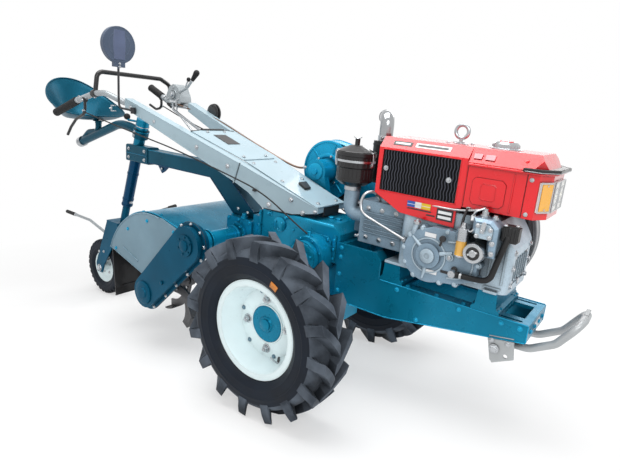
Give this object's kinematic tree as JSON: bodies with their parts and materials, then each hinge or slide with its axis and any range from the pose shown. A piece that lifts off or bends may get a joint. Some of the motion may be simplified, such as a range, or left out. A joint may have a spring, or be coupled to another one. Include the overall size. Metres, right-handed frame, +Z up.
{
  "type": "two-wheel walking tractor with rotary tiller and riding seat",
  "caption": "Walking tractor with diesel engine, driven wheels, chain-driven rotary tiller, riding seat on a steerable tail wheel and a folding front stand.",
  "frame": {"origin": "on the floor under the middle of the machine's bounding box", "axes": "+X forward along the machine, +Y to the operator's left, +Z up; the machine stands parked, nose down on its tail wheel"},
  "size_m": [3.0594, 0.962, 1.4485],
  "materials": {
    "teal_casting": "gloss teal enamel on cast iron",
    "engine_grey": "grey engine paint; density of a hollow iron casting",
    "flywheel_iron": "grey painted cast iron",
    "belt_rubber": "matt black rubber",
    "teal_steel": "gloss teal enamel on pressed steel",
    "red_paint": "gloss red enamel on pressed steel",
    "black_core": "matt black core; density of a hollow water hopper",
    "tank_red": "gloss red enamel; density of a part-filled tank",
    "lamp_red": "gloss red enamel; density of a hollow housing",
    "chrome_trim": "bright chrome",
    "bright_steel": "zinc plated steel",
    "lamp_lens": "clear and amber lens plastic",
    "cleaner_black": "gloss black paint; density of a hollow can",
    "muffler_black": "heat resistant black; density of a hollow can",
    "gearbox_teal": "gloss teal enamel; density of a hollow iron casting",
    "tyre_rubber": "dark rubber",
    "rim_white": "gloss white enamel",
    "teal_hub": "gloss teal enamel",
    "handle_white": "pale blue-grey enamel; density of a hollow box arm",
    "cover_white": "pale blue-grey enamel",
    "bar_black": "black enamel and rubber",
    "bar_grey": "pale grey enamel with black rubber grips",
    "horn_black": "black ribbed plastic",
    "visor_black": "black plastic",
    "filter_amber": "amber bowl under a bright head",
    "hose_rubber": "black rubber hose",
    "mirror_plastic": "dark blue-grey plastic",
    "cable_black": "black cable sheath",
    "tiller_teal": "gloss teal enamel; density of a hollow iron case",
    "shield_grey": "grey enamel on flat steel",
    "flap_black": "black rubber sheet",
    "blade_steel": "black enamel on spring steel",
    "beam_teal": "gloss teal enamel; density of a hollow box beam",
    "stand_grey": "light grey enamel"
  },
  "bodies": {
    "tractor": {"engine_frame": "teal_casting", "engine_mounts": "teal_casting", "crankcase": "engine_grey", "gear_cover": "engine_grey", "pump_housing": "engine_grey", "fuel_filter": "filter_amber", "side_hose": "hose_rubber", "cylinder_head": "engine_grey", "v_belts": "belt_rubber", "belt_guard": "teal_steel", "radiator_hood": "red_paint", "radiator_core": "black_core", "fuel_tank": "tank_red", "fuel_cap": "chrome_trim", "lamp_housing": "lamp_red", "lamp_visor": "visor_black", "front_lamps": "lamp_lens", "air_cleaner": "cleaner_black", "muffler": "muffler_black", "exhaust_pipe": "chrome_trim", "lifting_eye": "bright_steel", "gearbox": "gearbox_teal", "clutch_bracket": "teal_casting", "right_handle_arm": "handle_white", "left_handle_arm": "handle_white", "handle_cover": "cover_white", "handlebars": "bar_grey", "cross_bar": "bar_black", "steering_levers": "bar_black", "lever_console": "bright_steel", "control_rods": "bright_steel", "horn": "horn_black", "mirror": "mirror_plastic", "control_cables": "cable_black", "tiller_drive": "tiller_teal", "chain_case": "tiller_teal", "tiller_hood": "teal_steel", "side_shields": "shield_grey", "seat_beam": "beam_teal", "tail_column": "teal_steel", "seat_arm": "teal_steel", "seat_pan": "teal_steel", "stand_bracket": "stand_grey"},
    "left_wheel": {"left_tyre": "tyre_rubber", "left_rim": "rim_white", "left_hub": "teal_hub"},
    "right_wheel": {"right_tyre": "tyre_rubber", "right_rim": "rim_white", "right_hub": "teal_hub"},
    "engine_flywheel": {"flywheel": "flywheel_iron"},
    "rotor": {"tiller_rotor": "blade_steel"},
    "flap": {"rear_flap": "flap_black"},
    "fork": {"tail_fork": "teal_steel"},
    "tail_wheel": {"tail_tyre": "tyre_rubber", "tail_rim": "rim_white"},
    "stand": {"front_stand": "stand_grey"}
  },
  "joints": [
    {"name": "left_wheel_spin", "type": "hinge", "parent": "tractor", "child": "left_wheel", "pos_m": [0.5944, 0.4, 0.32], "axis": [0, 1, 0], "continuous": true},
    {"name": "right_wheel_spin", "type": "hinge", "parent": "tractor", "child": "right_wheel", "pos_m": [0.5944, -0.4, 0.32], "axis": [0, 1, 0], "continuous": true},
    {"name": "flywheel_spin", "type": "hinge", "parent": "tractor", "child": "engine_flywheel", "pos_m": [1.10984, 0.18, 0.63879], "axis": [0, 1, 0], "continuous": true},
    {"name": "rotor_spin", "type": "hinge", "parent": "tractor", "child": "rotor", "pos_m": [-0.1809, 0, 0.2693], "axis": [0, 1, 0], "continuous": true},
    {"name": "flap_swing", "type": "hinge", "parent": "tractor", "child": "flap", "pos_m": [-0.53436, 0, 0.42793], "axis": [0, 1, 0], "range_deg": [-8, 60]},
    {"name": "tail_steer", "type": "hinge", "parent": "tractor", "child": "fork", "pos_m": [-0.62378, 0, 1.03379], "axis": [0.3986, 0, 0.9171], "range_deg": [-40, 40]},
    {"name": "tail_wheel_spin", "type": "hinge", "parent": "fork", "child": "tail_wheel", "pos_m": [-1.06978, 0, 0.17], "axis": [0, 1, 0], "continuous": true},
    {"name": "stand_fold", "type": "hinge", "parent": "tractor", "child": "stand", "pos_m": [1.29504, 0, 0.32914], "axis": [0, 1, 0], "range_deg": [0, 105]}
  ]
}
